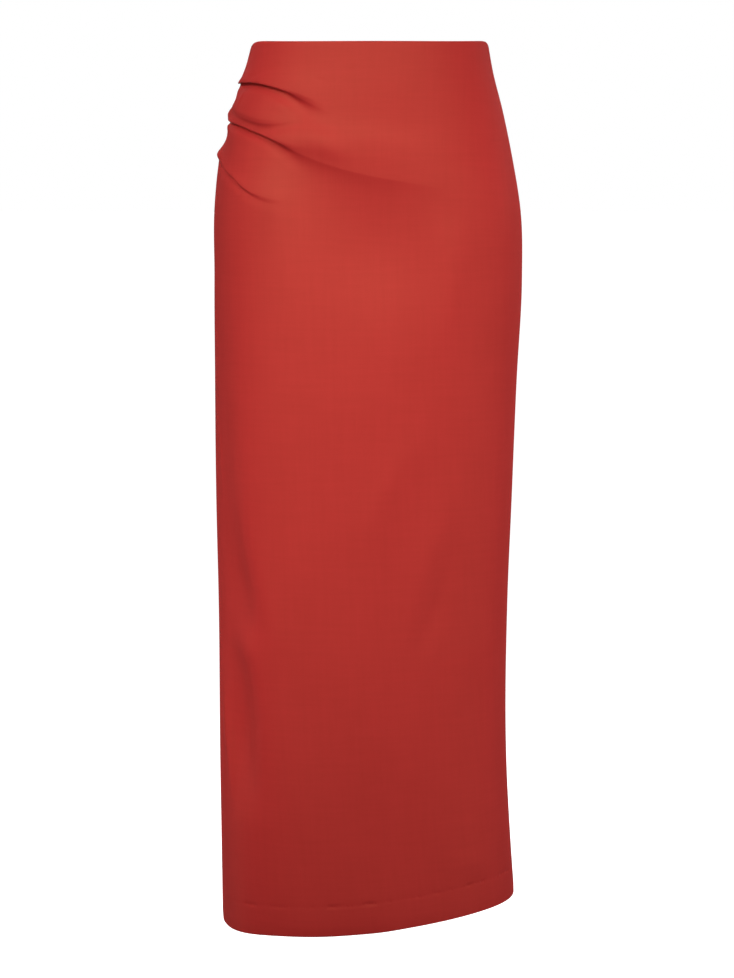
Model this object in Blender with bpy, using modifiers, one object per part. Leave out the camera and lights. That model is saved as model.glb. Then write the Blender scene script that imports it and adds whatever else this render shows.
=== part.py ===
"""Maxi skirt: a worn column of cloth, pleated into its right side seam. Metres, +Z up, the front faces -Y.

The origin is the middle of the waist opening, where the wearer holds the skirt up. Left and right are
the wearer's, so the pleated right side is at -X. Every cloth piece is a closed wall laid over one
smooth column, which is read from the sections below and then folded by the pleats and drapes.
"""

import math
from collections import namedtuple

import bmesh
import bpy
import numpy as np

# ---- driving sizes
LENGTH = 0.9400  # waist to hem, down the centre front
HEM_TILT = 0.0105  # the hem is this much lower at the right side seam, and higher at the left
WAIST_RISE = 0.0022  # the waist edge is cut this much higher near the side seams, and dips at them
CLOTH = 0.0015  # wall of one layer
SEAM_GAP = 0.0003  # between two pieces that are sewn together
HEM_ALLOWANCE = 0.032  # cloth turned up inside the hem
HEM_LAYER = 0.0012  # what the turned-up layer adds to the wall
SLIT_TOP = 0.66  # where the centre-back seam ends and the slit begins
SLIT_GAPE = 0.003  # between the slit's edges at the hem

# ---- concealed zip at the centre back
ZIP_TOP = 0.003
ZIP_BOTTOM = 0.205
HEAD_DOWN = 0.0125  # the pull's pin is this far below the waist
TAPE_TURN = 5.0  # degrees from the centre back to a tape's far edge, about 11 to 13 mm
TAPE_THICK = 0.001
COIL_WIDTH = 0.0034
COIL_DEGREE = 0.0024  # metres of cloth in a degree of turn at the zip
COIL_THICK = 0.002
SLIDER_HEIGHT = 0.009
SLIDER_DEPTH = 0.0025
FIN_THICK = 0.0011  # the slider's fin stands out through the seam
FIN_HEIGHT = 0.003
FIN_REACH = 0.001  # past the pin's axis
PIN_STAND_OFF = 0.0019  # pin's axis above the cloth
PIN_RADIUS = 0.0006
PIN_LENGTH = 0.0046
EAR_RADIUS = 0.0012
EAR_HOLE = 0.00072
SLOT_REACH = 0.003  # of the slot between the ears, to each side of the plate
SLOT_BELOW, SLOT_ABOVE = 0.002, 0.0022  # of the same slot, from the pin's axis
PULL_LENGTH = 0.019  # from the pin's axis to the tip
PULL_NECK = 0.0041
PULL_WIDEST = 0.0058
PULL_THICK = 0.0011
SLIDER_EDGE, FIN_EDGE = 0.0004, 0.0003  # rounded edges
OVERCUT = 0.001  # a cutter runs this far past what it cuts
HEAD_CLEARANCE = 0.00035  # cloth stands off the fin by this much
NOTCH_FOOT = 0.016  # the seam's edges close below the fin here

# ---- the column of cloth: one row for each level, distances in metres, twist in degrees.
# square makes the section squarer than an ellipse. twist turns it, right side forward.
Section = namedtuple("Section", "down half_width centre front back square twist")
SECTIONS = [
    Section(0.000, 0.1250, 0.0005, 0.087, 0.082, 0.020, 0.0),
    Section(0.030, 0.1310, 0.0000, 0.091, 0.089, 0.020, 0.0),
    Section(0.070, 0.1431, -0.0018, 0.097, 0.101, 0.022, 0.0),
    Section(0.120, 0.1543, -0.0023, 0.104, 0.116, 0.025, 0.5),
    Section(0.180, 0.1635, -0.0018, 0.110, 0.128, 0.028, 1.0),
    Section(0.250, 0.1652, -0.0018, 0.112, 0.130, 0.030, 2.0),
    Section(0.360, 0.1625, -0.0040, 0.111, 0.119, 0.030, 4.0),
    Section(0.490, 0.1597, -0.0054, 0.107, 0.110, 0.028, 6.5),
    Section(0.600, 0.1572, -0.0062, 0.104, 0.106, 0.025, 9.0),
    Section(0.780, 0.1576, -0.0056, 0.105, 0.105, 0.020, 12.0),
    Section(0.870, 0.1600, -0.0025, 0.107, 0.107, 0.020, 13.5),
    Section(0.960, 0.1635, 0.0015, 0.110, 0.109, 0.020, 15.5),
]

# ---- where seams lie round the column, as turns in degrees from the left side seam by the back
CENTRE_BACK, RIGHT_SEAM, WHOLE_TURN = 90.0, 180.0, 360.0

# ---- how the waist edge dips and the hem lifts: over half_width degrees to each side of turn
Bend = namedtuple("Bend", "turn half_width height")
WAIST_DIPS = [Bend(0.0, 10.0, 0.0057), Bend(RIGHT_SEAM, 14.0, 0.0072), Bend(WHOLE_TURN, 10.0, 0.0057)]
HEM_LIFTS = [Bend(222.0, 20.0, 0.0022), Bend(310.0, 34.0, 0.0032)]

# ---- folds: each line runs through places on the cloth, with how far the cloth stands proud there
Place = namedtuple("Place", "turn down proud")

# Pleats start in the right side seam. The cloth above a crease swells over its reach above,
# drops at the crease into a hollow, and recovers over its reach below. swell and sunk are shares
# of the height of the fold: the second row is only a hollow, between two pleats.
Pleat = namedtuple("Pleat", "above below swell sunk line")
PLEATS = [
    Pleat(
        above=0.015,
        below=0.011,
        swell=1.0,
        sunk=0.25,
        line=[
            Place(180, 0.043, 0.0030),
            Place(219, 0.044, 0.0042),
            Place(236, 0.053, 0.0046),
            Place(252, 0.074, 0.0),
        ],
    ),
    Pleat(
        above=0.014,
        below=0.007,
        swell=0.0,
        sunk=1.0,
        line=[
            Place(183, 0.064, 0.0),
            Place(197, 0.071, 0.0024),
            Place(222, 0.079, 0.0020),
            Place(242, 0.077, 0.0),
        ],
    ),
    Pleat(
        above=0.017,
        below=0.013,
        swell=1.0,
        sunk=0.22,
        line=[
            Place(180, 0.0785, 0.0034),
            Place(211, 0.089, 0.0042),
            Place(244, 0.113, 0.0050),
            Place(282, 0.160, 0.0),
        ],
    ),
    Pleat(
        above=0.010,
        below=0.014,
        swell=1.0,
        sunk=0.0,
        line=[
            Place(180, 0.118, 0.0060),
            Place(202, 0.133, 0.0022),
            Place(220, 0.152, 0.0024),
            Place(238, 0.168, 0.0),
        ],
    ),
]
PLEAT_STEP = 0.0035  # the drop under a crease, measured down the cloth
PLEAT_TRAIL = 7.0  # degrees over which a pleat dies out behind the seam

# Drapes are long soft folds down the cloth. Below zero is a trough.
Drape = namedtuple("Drape", "half_width line")
DRAPES = [
    Drape(0.022, [Place(297, 0.40, 0), Place(274, 0.50, -0.0026), Place(268, 0.66, 0)]),
    Drape(0.018, [Place(300, 0.46, 0), Place(293, 0.57, -0.0030), Place(272, 0.72, 0)]),
    Drape(0.026, [Place(262, 0.44, 0), Place(250, 0.58, -0.0020), Place(236, 0.76, 0)]),
    Drape(0.016, [Place(206, 0.16, 0), Place(207, 0.42, -0.0022), Place(220, 0.64, 0)]),
    Drape(0.014, [Place(200, 0.60, 0), Place(210, 0.68, -0.0022), Place(222, 0.78, 0)]),
    Drape(0.020, [Place(231, 0.14, 0), Place(232, 0.27, 0.0016), Place(230, 0.42, 0)]),
    Drape(0.024, [Place(60, 0.32, 0), Place(66, 0.50, -0.0030), Place(74, 0.72, 0)]),
    Drape(0.026, [Place(120, 0.28, 0), Place(112, 0.46, -0.0028), Place(104, 0.64, 0)]),
    Drape(0.024, [Place(140, 0.42, 0), Place(146, 0.62, -0.0024), Place(150, 0.88, 0)]),
    Drape(0.022, [Place(28, 0.38, 0), Place(34, 0.62, -0.0024), Place(40, 0.90, 0)]),
]

# ---- how finely the walls are divided
PLEAT_ROWS_FROM, PLEAT_ROW = 0.026, 0.0052
ZIP_ROW, PLAIN_ROW = 0.018, 0.040
PLEAT_COLUMNS_TO, PLEAT_COLUMN = 40.0, 2.7
TRAIL_TURN = 12.0  # the back's columns are close together this near the pleats
HEM_STEP = 0.0015  # over which the turned-up layer begins
HEM_ROLL = 0.004  # last row above the hem's edge
PLAIN_COLUMN, BACK_COLUMN = 6.4, 9.5

RED = (0.44, 0.045, 0.033, 1.0)
TAPE_RED = (0.36, 0.035, 0.028, 1.0)
ENAMEL_RED = (0.33, 0.030, 0.026, 1.0)


# ---------------------------------------------------------------- the form of the cloth


def follow(knots, values, at):
    """A smooth curve through a table's values: cubic pieces, with slopes from the neighbours."""
    slopes = np.gradient(values, knots)
    i = np.clip(np.searchsorted(knots, at) - 1, 0, len(knots) - 2)
    span = knots[i + 1] - knots[i]
    s = (at - knots[i]) / span
    start = (2 * s**3 - 3 * s**2 + 1) * values[i] + (s**3 - 2 * s**2 + s) * span * slopes[i]
    end = (3 * s**2 - 2 * s**3) * values[i + 1] + (s**3 - s**2) * span * slopes[i + 1]
    return start + end


def rise(value, low, high):
    """0 below low, 1 above high and smooth between."""
    s = np.clip((value - low) / (high - low), 0, 1)
    return s * s * (3 - 2 * s)


SECTION_COLUMNS = {name: np.array([getattr(s, name) for s in SECTIONS]) for name in Section._fields}


def column(turn, down):
    """Points of the smooth column, before its folds. turn is in degrees."""
    size = {
        name: follow(SECTION_COLUMNS["down"], values, down)
        for name, values in SECTION_COLUMNS.items()
        if name != "down"
    }
    angle = np.radians(turn)
    square = size["square"]
    x = size["half_width"] * (np.cos(angle) - square * np.cos(3 * angle)) / (1 - square)
    depth = np.where(np.sin(angle) > 0, size["back"], size["front"])
    y = depth * (np.sin(angle) + square * np.sin(3 * angle)) / (1 - square)
    twist = np.radians(size["twist"])
    across = size["centre"] + x * np.cos(twist) - y * np.sin(twist)
    return np.stack([across, x * np.sin(twist) + y * np.cos(twist), -down + 0 * x], axis=-1)


def along(surface, turn, down, step_turn=0.05, step_down=0.0002):
    """A surface's two directions at each place: per degree of turn, and per metre down."""
    by_turn = (surface(turn + step_turn, down) - surface(turn - step_turn, down)) / (2 * step_turn)
    by_down = (surface(turn, down + step_down) - surface(turn, down - step_down)) / (2 * step_down)
    return by_turn, by_down


def outward(surface, turn, down):
    by_turn, by_down = along(surface, turn, down)
    normal = np.cross(by_down, by_turn)
    return normal / np.linalg.norm(normal, axis=-1, keepdims=True)


def degree(turn, down):
    """Metres of cloth in one degree of turn."""
    return np.linalg.norm(along(column, turn, down)[0], axis=-1)


def places(line):
    """A fold line's turns, downs and heights."""
    return np.array(line, dtype=float).T


def pleat_height(pleat, turn, down):
    turns, downs, prouds = places(pleat.line)
    at = np.clip(turn, turns[0], turns[-1])
    below = down - follow(turns, downs, at)
    swollen = np.exp(-((np.minimum(below, 0) / pleat.above) ** 2))
    hollow = np.exp(-((np.maximum(below - PLEAT_STEP, 0) / pleat.below) ** 2))
    dropped = rise(below, 0, PLEAT_STEP)
    profile = (1 - dropped) * pleat.swell * swollen - dropped * pleat.sunk * hollow
    trail = np.exp(-((np.minimum(turn - turns[0], 0) / PLEAT_TRAIL) ** 2))
    return np.maximum(follow(turns, prouds, at), 0) * profile * trail


def drape_height(drape, turn, down):
    turns, downs, prouds = places(drape.line)
    at = np.clip(down, downs[0], downs[-1])
    across = (turn - follow(downs, turns, at)) * degree(turn, down)
    top, middle, foot = downs
    ends = rise(at, top, middle) * (1 - rise(at, middle, foot))
    return prouds[1] * ends * np.exp(-((across / drape.half_width) ** 2))


def cloth(turn, down):
    """The outer face of the skirt: the column with its pleats and drapes."""
    height = sum(pleat_height(p, turn, down) for p in PLEATS)
    height = height + sum(drape_height(d, turn, down) for d in DRAPES)
    return column(turn, down) + outward(column, turn, down) * height[..., None]


def inside(turn, down, depth):
    """Points under the outer face, by depth."""
    return cloth(turn, down) - outward(cloth, turn, down) * (depth + 0 * turn)[..., None]


# ---------------------------------------------------------------- objects


def material(name, colour, roughness, metallic=0.0):
    made = bpy.data.materials.new(name)
    made.use_nodes = True
    surface = made.node_tree.nodes["Principled BSDF"]
    surface.inputs["Base Color"].default_value = colour
    surface.inputs["Roughness"].default_value = roughness
    surface.inputs["Metallic"].default_value = metallic
    return made


def add_mesh(name, mesh, finish, home):
    made = bpy.data.objects.new(name, mesh)
    home.objects.link(made)
    if finish:
        mesh.materials.append(finish)
    return made


def wall(name, turns, downs, outer, inner, finish, home):
    """A closed wall over a grid of places, between two depths under the cloth's outer face."""
    faces = (inside(turns, downs, outer), inside(turns, downs, inner))
    rows, columns = turns.shape
    build = bmesh.new()
    grids = [[[build.verts.new(p) for p in row] for row in face] for face in faces]
    for grid, facing in zip(grids, (1, -1)):
        for r in range(rows - 1):
            for c in range(columns - 1):
                corners = [grid[r][c], grid[r + 1][c], grid[r + 1][c + 1], grid[r][c + 1]]
                build.faces.new(corners[::facing])
    rim = [(0, c) for c in range(columns)]
    rim += [(r, columns - 1) for r in range(1, rows)]
    rim += [(rows - 1, c) for c in range(columns - 2, -1, -1)]
    rim += [(r, 0) for r in range(rows - 2, 0, -1)]
    out, back = grids
    for (r, c), (r2, c2) in zip(rim, rim[1:] + rim[:1]):
        build.faces.new([out[r][c], out[r2][c2], back[r2][c2], back[r][c]])
    bmesh.ops.triangulate(build, faces=build.faces)
    mesh = bpy.data.meshes.new(name)
    build.to_mesh(mesh)
    build.free()
    mesh.shade_smooth()
    mesh.set_sharp_from_angle(angle=math.radians(50))
    return add_mesh(name, mesh, finish, home)


def bend_height(bend, turn):
    return bend.height * np.exp(-(((turn - bend.turn) / bend.half_width) ** 2))


def waist_edge(turn):
    """How far down the cloth begins."""
    dips = sum(bend_height(bend, turn) for bend in WAIST_DIPS)
    return dips - WAIST_RISE * np.cos(np.radians(turn)) ** 4


def hem_edge(turn):
    """How far down the cloth ends: lower at the right side, higher at the left."""
    lifts = sum(bend_height(bend, turn) for bend in HEM_LIFTS)
    return LENGTH - HEM_TILT * np.cos(np.radians(turn)) - lifts


def spaced(start, stop, step):
    """Even values from start to stop, about a step apart."""
    count = max(1, round((stop - start) / step))
    return np.linspace(start, stop, count + 1)


def row_levels(pleated):
    """Levels down a panel, from 0 at the waist to LENGTH at the hem, close together at the pleats."""
    top = [0.0, ZIP_TOP, 3 * ZIP_TOP, NOTCH_FOOT, NOTCH_FOOT + ZIP_TOP]
    close = spaced(PLEAT_ROWS_FROM, ZIP_BOTTOM, PLEAT_ROW if pleated else ZIP_ROW)[:-1]
    hem_line = LENGTH - HEM_ALLOWANCE
    hem = [hem_line, hem_line + HEM_STEP, LENGTH - HEM_ROLL, LENGTH]
    return np.concatenate([top, close, spaced(ZIP_BOTTOM, hem_line, PLAIN_ROW)[:-1], hem])


def hem_layers(level):
    """Depth of a panel's inner face: one layer, and more where the hem is turned up."""
    hem_line = LENGTH - HEM_ALLOWANCE
    return CLOTH + HEM_LAYER * rise(level, hem_line, hem_line + HEM_STEP)


def centre_back_parting(down):
    """How far each back panel's edge is from the centre back."""
    head = FIN_THICK / 2 + HEAD_CLEARANCE - SEAM_GAP / 2
    parting = SEAM_GAP / 2 + head * (1 - rise(down, NOTCH_FOOT, NOTCH_FOOT + ZIP_TOP))
    return parting + (SLIT_GAPE - SEAM_GAP) / 2 * np.clip((down - SLIT_TOP) / (LENGTH - SLIT_TOP), 0, 1)


def panel(name, columns, start_gap, end_gap, pleated, finish, home):
    """A panel between two seams. The gaps say how far its edges stand from them at each level."""
    levels = row_levels(pleated)[:, None] + 0 * columns[None, :]
    turns = columns[None, :] + 0 * levels
    share = levels / LENGTH
    downs = waist_edge(turns) * (1 - share) + hem_edge(turns) * share
    turns[:, 0] += start_gap(levels[:, 0]) / degree(turns[:, 0], downs[:, 0])
    turns[:, -1] -= end_gap(levels[:, -1]) / degree(turns[:, -1], downs[:, -1])
    return wall(name, turns, downs, 0.0, hem_layers(levels), finish, home)


def sewn(level):
    return SEAM_GAP / 2 + 0 * level


def build_panels(finish, home):
    pleat_end = RIGHT_SEAM + PLEAT_COLUMNS_TO
    pleated = spaced(RIGHT_SEAM, pleat_end, PLEAT_COLUMN)[:-1]
    plain = spaced(pleat_end, WHOLE_TURN, PLAIN_COLUMN)
    panel("front", np.concatenate([pleated, plain]), sewn, sewn, True, finish, home)
    half_back = np.concatenate([[0.0], spaced(TAPE_TURN, CENTRE_BACK, BACK_COLUMN)])
    panel("back_left", CENTRE_BACK - half_back[::-1], sewn, centre_back_parting, False, finish, home)
    trail_from = CENTRE_BACK - TRAIL_TURN
    trail = spaced(trail_from, CENTRE_BACK, PLEAT_COLUMN)
    half_back = np.concatenate([[0.0], spaced(TAPE_TURN, trail_from, BACK_COLUMN)[:-1], trail])
    panel("back_right", CENTRE_BACK + half_back, centre_back_parting, sewn, True, finish, home)


def strip(name, levels, start, end, outer, inner, finish, home):
    """A strip beside the centre back, from turn to turn, at levels of the panel that it lies in."""
    downs = levels[:, None] + np.zeros((1, 2))
    turns = CENTRE_BACK + np.array([[start, end]]) + 0 * downs
    return wall(name, turns, downs, outer, inner, finish, home)


def build_zip_strips(finish, home):
    """Two tapes and the coil between them, inside the back panels."""
    under = CLOTH + SEAM_GAP
    half_coil = COIL_WIDTH / 2 / COIL_DEGREE
    tape_start = (COIL_WIDTH / 2 + SEAM_GAP) / COIL_DEGREE
    lower = under + TAPE_THICK
    for name, pleated, start, end in (
        ("zip_tape_left", False, -TAPE_TURN, -tape_start),
        ("zip_tape_right", True, tape_start, TAPE_TURN),
    ):
        levels = row_levels(pleated)
        levels = np.append(levels[(levels >= ZIP_TOP) & (levels < ZIP_BOTTOM)], ZIP_BOTTOM)
        strip(name, levels, start, end, under, lower, finish, home)
    levels = row_levels(False)
    coil_top = HEAD_DOWN + SLIDER_HEIGHT / 2 + SEAM_GAP
    levels = np.concatenate([[coil_top], levels[(levels > coil_top) & (levels < ZIP_BOTTOM)]])
    strip("zip_coil", levels, -half_coil, half_coil, under, under + COIL_THICK, finish, home)


# ---------------------------------------------------------------- slider and pull
# Both are drawn with the pin's axis at their origin: X along the pin, Y away from the cloth.


def box(name, low, high, home, finish=None):
    build = bmesh.new()
    bmesh.ops.create_cube(build, size=1.0)
    for vertex in build.verts:
        for axis in range(3):
            vertex.co[axis] = low[axis] if vertex.co[axis] < 0 else high[axis]
    mesh = bpy.data.meshes.new(name)
    build.to_mesh(mesh)
    build.free()
    return add_mesh(name, mesh, finish, home)


def rod(name, radius, length, home, sides=20):
    """A cylinder along X."""
    bpy.ops.mesh.primitive_cylinder_add(
        vertices=sides, radius=radius, depth=length, location=(0, 0, 0), rotation=(0, math.pi / 2, 0)
    )
    made = bpy.context.object
    bpy.ops.object.transform_apply(location=True, rotation=True, scale=True)
    for old in list(made.users_collection):
        old.objects.unlink(made)
    home.objects.link(made)
    made.name = name
    return made


def combine(target, tool, operation):
    change = target.modifiers.new(tool.name, "BOOLEAN")
    change.operation = operation
    change.object = tool


def hide(*tools):
    for tool in tools:
        tool.hide_render = True
        tool.display_type = "WIRE"


def build_slider(finish, home, tools):
    """A body inside the tapes, a fin out through the seam and the pin across the fin."""
    half = COIL_WIDTH / 2
    face = -(PIN_STAND_OFF + CLOTH + SEAM_GAP)
    tall = SLIDER_HEIGHT / 2
    slider = box("zip_slider", (-half, face - SLIDER_DEPTH, -tall), (half, face, tall), home, finish)
    soft = slider.modifiers.new("edges", "BEVEL")
    soft.width = SLIDER_EDGE
    soft.segments = 2
    fin_low = (-FIN_THICK / 2, face - SLIDER_DEPTH / 2, -FIN_HEIGHT / 2)
    fin = box("slider_fin", fin_low, (FIN_THICK / 2, FIN_REACH, FIN_HEIGHT / 2), tools)
    bend = fin.modifiers.new("edges", "BEVEL")
    bend.width = FIN_EDGE
    bend.segments = 2
    pin = rod("slider_pin", PIN_RADIUS, PIN_LENGTH, tools)
    combine(slider, fin, "UNION")
    combine(slider, pin, "UNION")
    hide(fin, pin)
    return slider


def pull_outline():
    """A teardrop: a narrow neck at the pin, widest near the tip. Half of it, as (half width, drop)."""
    widest_drop = PULL_LENGTH - PULL_WIDEST / 2
    neck = [(PULL_NECK / 2, 0.0)]
    flank = [
        (PULL_NECK / 2 + (PULL_WIDEST - PULL_NECK) / 2 * rise(s, 0, 1), widest_drop * s)
        for s in np.linspace(0.3, 1, 6)
    ]
    arc = [
        (PULL_WIDEST / 2 * math.cos(a), widest_drop + PULL_WIDEST / 2 * math.sin(a))
        for a in np.radians(np.arange(18, 90, 18))
    ]
    half = neck + flank + arc
    return half + [(0.0, PULL_LENGTH)] + [(-w, d) for w, d in reversed(half)]


def build_pull(finish, home, tools):
    """The pull tab: a teardrop plate with two ears round the pin, one on each side of the fin."""
    outline = bpy.data.curves.new("pull_outline", "CURVE")
    outline.dimensions = "2D"
    outline.fill_mode = "BOTH"
    outline.extrude = PULL_THICK / 2
    points = pull_outline()
    line = outline.splines.new("POLY")
    line.points.add(len(points) - 1)
    for point, (width, drop) in zip(line.points, points):
        point.co = (width, -drop, 0, 1)
    line.use_cyclic_u = True
    flat = bpy.data.objects.new("pull_outline", outline)
    tools.objects.link(flat)
    evaluated = flat.evaluated_get(bpy.context.evaluated_depsgraph_get())
    mesh = bpy.data.meshes.new_from_object(evaluated)
    bpy.data.objects.remove(flat)
    weld = bmesh.new()
    weld.from_mesh(mesh)
    bmesh.ops.remove_doubles(weld, verts=weld.verts, dist=0.00001)
    bmesh.ops.recalc_face_normals(weld, faces=weld.faces)
    for vertex in weld.verts:
        vertex.co = (vertex.co.x, -vertex.co.z, vertex.co.y)
    weld.to_mesh(mesh)
    weld.free()
    mesh.name = "zip_pull"
    pull = add_mesh("zip_pull", mesh, finish, home)
    barrel = rod("pull_barrel", EAR_RADIUS, PULL_NECK, tools)
    fork = FIN_THICK / 2 + SEAM_GAP
    slot = box("pull_slot", (-fork, -SLOT_REACH, -SLOT_BELOW), (fork, SLOT_REACH, SLOT_ABOVE), tools)
    hole = rod("pull_hole", EAR_HOLE, PULL_NECK + 2 * OVERCUT, tools)
    combine(pull, barrel, "UNION")
    combine(pull, slot, "DIFFERENCE")
    combine(pull, hole, "DIFFERENCE")
    hide(barrel, slot, hole)
    return pull


def build_zip_head(finish, home, tools):
    """Slider and pull on an empty at the pin's axis, tipped to lie along the cloth below it."""
    turn = np.array([CENTRE_BACK])
    seat = inside(turn, np.array([HEAD_DOWN]), 0.0)[0]
    away = outward(cloth, turn, np.array([HEAD_DOWN]))[0]
    tip = math.atan2(away[2], away[1])
    head = bpy.data.objects.new("zip_head", None)
    home.objects.link(head)
    head.location = seat + away * PIN_STAND_OFF
    head.rotation_euler = (tip, 0, 0)
    for piece in (build_slider(finish, home, tools), build_pull(finish, home, tools)):
        piece.parent = head
        piece.data.shade_smooth()
        piece.data.set_sharp_from_angle(angle=math.radians(40))
    for tool in tools.objects:
        tool.parent = head


def main():
    for old in list(bpy.data.objects):
        bpy.data.objects.remove(old)
    home = bpy.data.collections.new("maxi_skirt")
    tools = bpy.data.collections.new("cutters")
    for collection in (home, tools):
        bpy.context.scene.collection.children.link(collection)
    cloth_finish = material("cloth", RED, 0.8)
    tape_finish = material("zip_tape", TAPE_RED, 0.85)
    enamel = material("zip_enamel", ENAMEL_RED, 0.35)
    build_panels(cloth_finish, home)
    build_zip_strips(tape_finish, home)
    build_zip_head(enamel, home, tools)
    bpy.context.view_layer.update()


main()
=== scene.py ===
import math
from collections import namedtuple

import bmesh
import bpy
import numpy as np
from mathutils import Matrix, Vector


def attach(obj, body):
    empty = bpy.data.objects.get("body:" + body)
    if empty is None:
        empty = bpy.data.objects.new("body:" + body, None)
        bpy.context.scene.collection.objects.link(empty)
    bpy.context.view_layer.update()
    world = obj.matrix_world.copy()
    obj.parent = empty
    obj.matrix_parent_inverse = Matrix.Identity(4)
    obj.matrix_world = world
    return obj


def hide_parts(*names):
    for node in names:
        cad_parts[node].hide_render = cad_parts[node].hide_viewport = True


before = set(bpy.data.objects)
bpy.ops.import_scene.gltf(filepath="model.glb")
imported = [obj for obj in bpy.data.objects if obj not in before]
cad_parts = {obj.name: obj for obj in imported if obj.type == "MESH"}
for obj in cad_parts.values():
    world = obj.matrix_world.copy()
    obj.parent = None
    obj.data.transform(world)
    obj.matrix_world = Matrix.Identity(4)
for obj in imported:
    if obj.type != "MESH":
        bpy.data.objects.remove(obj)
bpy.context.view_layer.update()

# Maxi skirt. Metres, +Z up, the front faces -Y, the wearer's right side is at -X. A place on the cloth
# is a turn, in degrees round the column from the left side seam by the back, and a way down from the waist.

# ---- sizes
LENGTH = 0.9400
HEM_TILT = 0.0105
WAIST_RISE = 0.0022
CLOTH = 0.0010  # one layer
TURNED = 0.0017  # two layers pressed together, at a turned edge
EASE = 0.0009  # the soft cloth stands this far out of the plain column, away from the zip
EASE_SPREAD = 22.0  # degrees from the centre back in which it comes in to the column
HEM_ALLOWANCE = 0.032
TOP_ALLOWANCE = 0.014
SEAM_ALLOWANCE = 0.012
SLIT_ALLOWANCE = 0.018
SLIT_TOP = 0.66
SLIT_GAPE = 0.003
SEAM_GAP = 0.0001  # at the centre back, above the slit
SIDE_LAP = 0.0002  # the side seams' edges press this far into each other
LAYER_GAP = 0.0001  # between a panel and the allowance pressed against it
ALLOWANCE_THICK = 0.0006
HEM_CURL, CURL_HALF = 0.0015, 0.0045  # how far the hem's edge curls in, and how near the edge
CURL_TURN, CURL_SPREAD, LEAST_CURL = 242.0, 30.0, 0.35  # where it curls most, and its share elsewhere
DART_TURNS = (60.0, 120.0)
DART_LENGTH, DART_END = 0.135, 0.02  # a dart fades out over its end
GROOVE, GROOVE_HALF = 0.0008, 0.0009  # a dart's stitched line
RAISED, RAISED_HALF = 0.0006, 0.006  # the cloth on both sides of it
FIN_THICK = 0.0011
HEAD_CLEARANCE = 0.00035
NOTCH_FOOT = 0.016
ZIP_TOP, ZIP_BOTTOM = 0.003, 0.205
TAPE_OUTER, TAPE_INNER = 0.0018, 0.0028  # depths under the cloth's outer face
TAPE_TURN = 5.0  # a tape's outer edge, in degrees from the centre back
TAPE_STEPS = 60
COIL_DEGREE = 0.0024  # metres of cloth in a degree of turn at the zip
COIL_TOP, COIL_HALF = 0.0173, 0.0017
COIL_CLEARANCE = 0.0003  # from the coil's side to a tape
CENTRE_BACK, RIGHT_SEAM, CENTRE_FRONT, WHOLE_TURN = 90.0, 180.0, 270.0, 360.0

Section = namedtuple("Section", "down half_width centre front back square twist")
SECTIONS = [
    Section(0.000, 0.1250, 0.0005, 0.087, 0.082, 0.020, 0.0),
    Section(0.030, 0.1310, 0.0000, 0.091, 0.089, 0.020, 0.0),
    Section(0.070, 0.1431, -0.0018, 0.097, 0.101, 0.022, 0.0),
    Section(0.120, 0.1543, -0.0023, 0.104, 0.116, 0.025, 0.5),
    Section(0.180, 0.1635, -0.0018, 0.110, 0.128, 0.028, 1.0),
    Section(0.250, 0.1652, -0.0018, 0.112, 0.130, 0.030, 2.0),
    Section(0.360, 0.1625, -0.0040, 0.111, 0.119, 0.030, 4.0),
    Section(0.490, 0.1597, -0.0054, 0.107, 0.110, 0.028, 6.5),
    Section(0.600, 0.1572, -0.0062, 0.104, 0.106, 0.025, 9.0),
    Section(0.780, 0.1576, -0.0056, 0.105, 0.105, 0.020, 12.0),
    Section(0.870, 0.1600, -0.0025, 0.107, 0.107, 0.020, 13.5),
    Section(0.960, 0.1635, 0.0015, 0.110, 0.109, 0.020, 15.5),
]

Bend = namedtuple("Bend", "turn half_width height")
WAIST_DIPS = [Bend(0.0, 10.0, 0.0057), Bend(RIGHT_SEAM, 14.0, 0.0072), Bend(WHOLE_TURN, 10.0, 0.0057)]
HEM_LIFTS = [Bend(222.0, 20.0, 0.0022), Bend(308.0, 32.0, 0.0024)]

# Pleats start in the right side seam. At each place of a pleat's line: swell is how far the cloth above
# bulges, edge how far the fold's lip stands over the cloth below it, over how strongly the lip overhangs
# (none up to 1), hollow how deep the cloth sinks under it, lip the half width of the fold's turn, below
# how far the hollow runs, and fall how far the cloth then slopes away, which it does until run.
PLEAT_FIELDS = "turn down swell edge over hollow lip below fall run"
PleatPlace = namedtuple("PleatPlace", PLEAT_FIELDS, defaults=(0.0, 0.02))
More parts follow.
